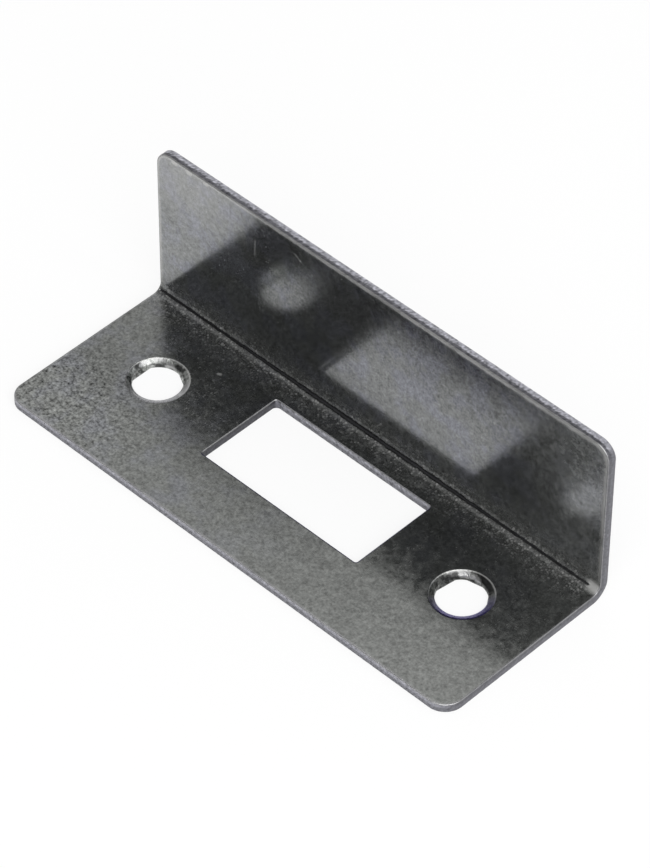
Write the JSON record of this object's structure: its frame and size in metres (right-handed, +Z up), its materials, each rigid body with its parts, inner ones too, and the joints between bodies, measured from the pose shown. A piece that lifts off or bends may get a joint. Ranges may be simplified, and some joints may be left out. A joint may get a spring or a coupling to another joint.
{
  "type": "door strike plate",
  "caption": "Angled door strike plate: a folded steel sheet with a rectangular latch slot between countersunk screw holes and a plain upright leg.",
  "frame": {"origin": "on the underside of the flat leg, midway between the two screw holes", "axes": "+X along the fold, +Y from the front edge towards the upright leg, +Z up out of the flat leg's countersunk face"},
  "size_m": [0.06, 0.0224, 0.02],
  "materials": {
    "blackened_steel": "satin"
  },
  "bodies": {
    "root": {"strike_plate": "blackened_steel"}
  },
  "joints": []
}
